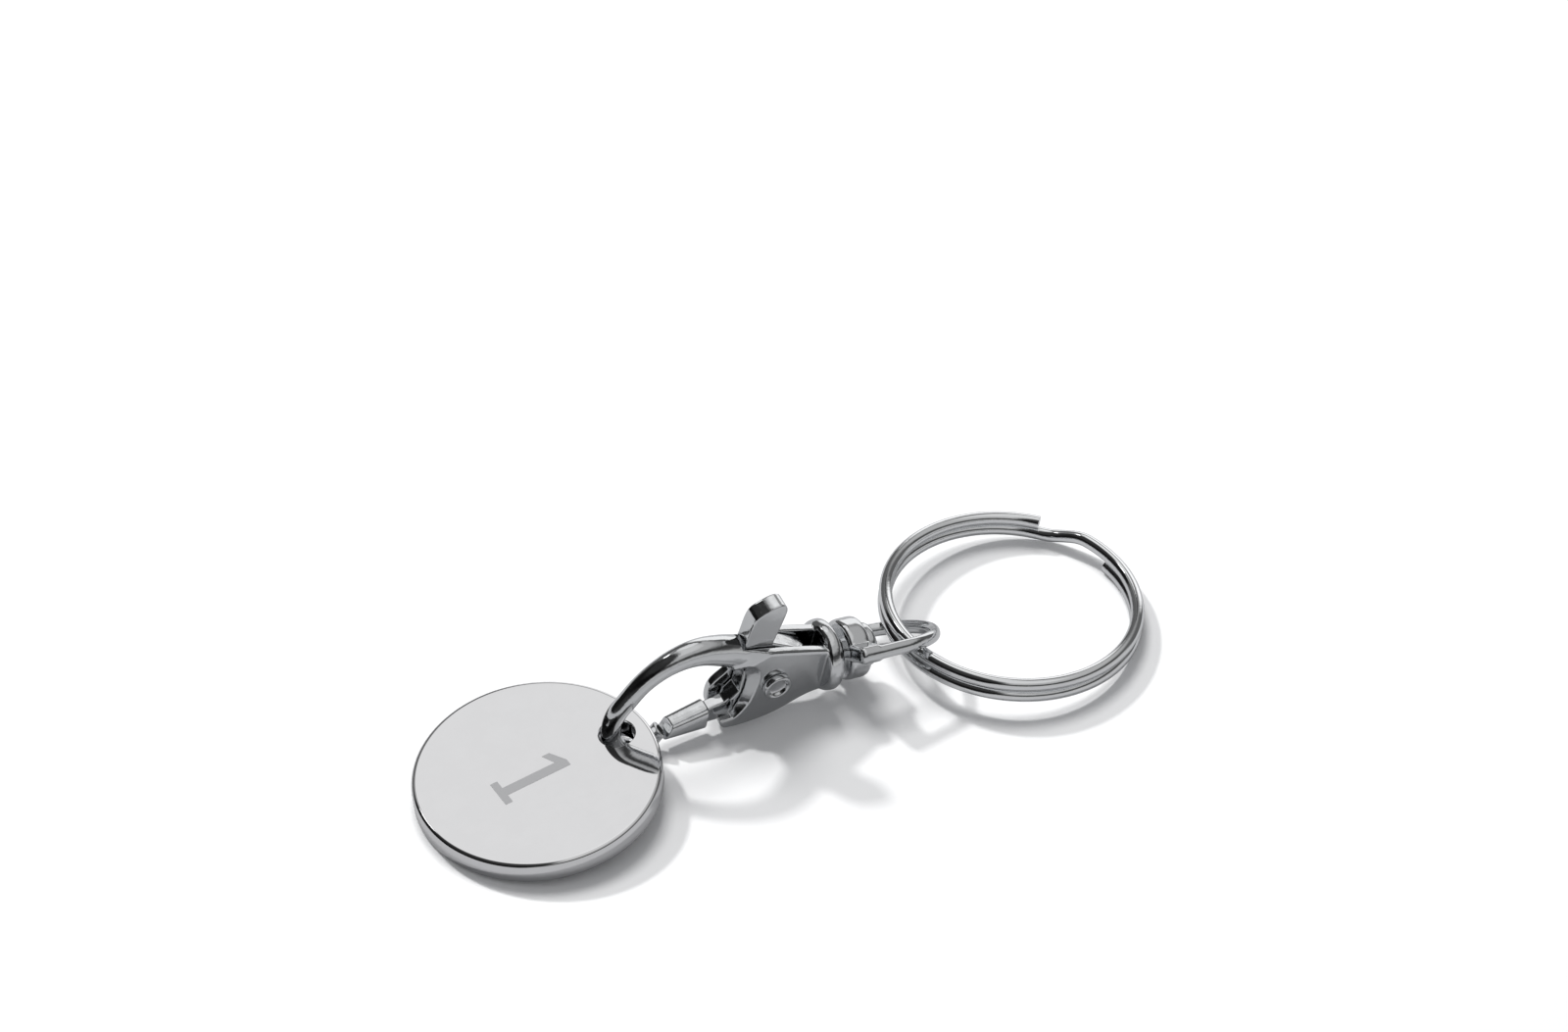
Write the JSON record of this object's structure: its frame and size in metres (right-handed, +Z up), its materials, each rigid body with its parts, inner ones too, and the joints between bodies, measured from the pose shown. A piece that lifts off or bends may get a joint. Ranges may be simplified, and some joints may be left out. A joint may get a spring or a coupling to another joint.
{
  "type": "trolley coin keyring",
  "caption": "Trolley token disc hanging in a lobster clasp with a sprung thumb lever, with a swivel bail and a split ring for keys.",
  "frame": {"origin": "middle of the keyring's footprint on the surface that it lies on", "axes": "+X along the keyring from the coin to the split ring, +Y to the left of that direction, +Z up"},
  "size_m": [0.0736, 0.025, 0.0155],
  "materials": {
    "clasp_nickel": "polished",
    "lever_nickel": "polished",
    "rivet_steel": "polished",
    "spring_steel": "satin",
    "bail_nickel": "polished",
    "ring_steel": "polished",
    "coin_nickel": "satin"
  },
  "bodies": {
    "clasp": {"hook_body": "clasp_nickel", "lever_rivet": "rivet_steel", "lever_spring": "spring_steel"},
    "lever": {"gate_lever": "lever_nickel"},
    "bail": {"swivel_bail": "bail_nickel"},
    "ring": {"split_ring": "ring_steel"},
    "token": {"coin": "coin_nickel"}
  },
  "joints": [
    {"name": "lever_pivot", "type": "hinge", "parent": "clasp", "child": "lever", "pos_m": [-0.00142, 0.0002, 0.00569], "axis": [0.0174, 0.9918, 0.1265], "range_deg": [0, 20], "stiffness_Nm_per_rad": 0.02, "springref_deg": -20.05, "deforming": ["lever_spring"]},
    {"name": "swivel_spin", "type": "hinge", "parent": "clasp", "child": "bail", "pos_m": [0.00484, 0.00018, 0.00494], "axis": [0.9888, 0.0017, -0.1495], "continuous": true},
    {"name": "ring_turn", "type": "hinge", "parent": "bail", "child": "ring", "pos_m": [0.02433, 0, 0.00253], "axis": [0.103, 0, 0.9947], "continuous": true},
    {"name": "coin_swing", "type": "hinge", "parent": "clasp", "child": "token", "pos_m": [-0.01675, 0.00043, 0.00309], "axis": [-0.0993, 0, 0.9951], "range_deg": [-25, 25]}
  ]
}
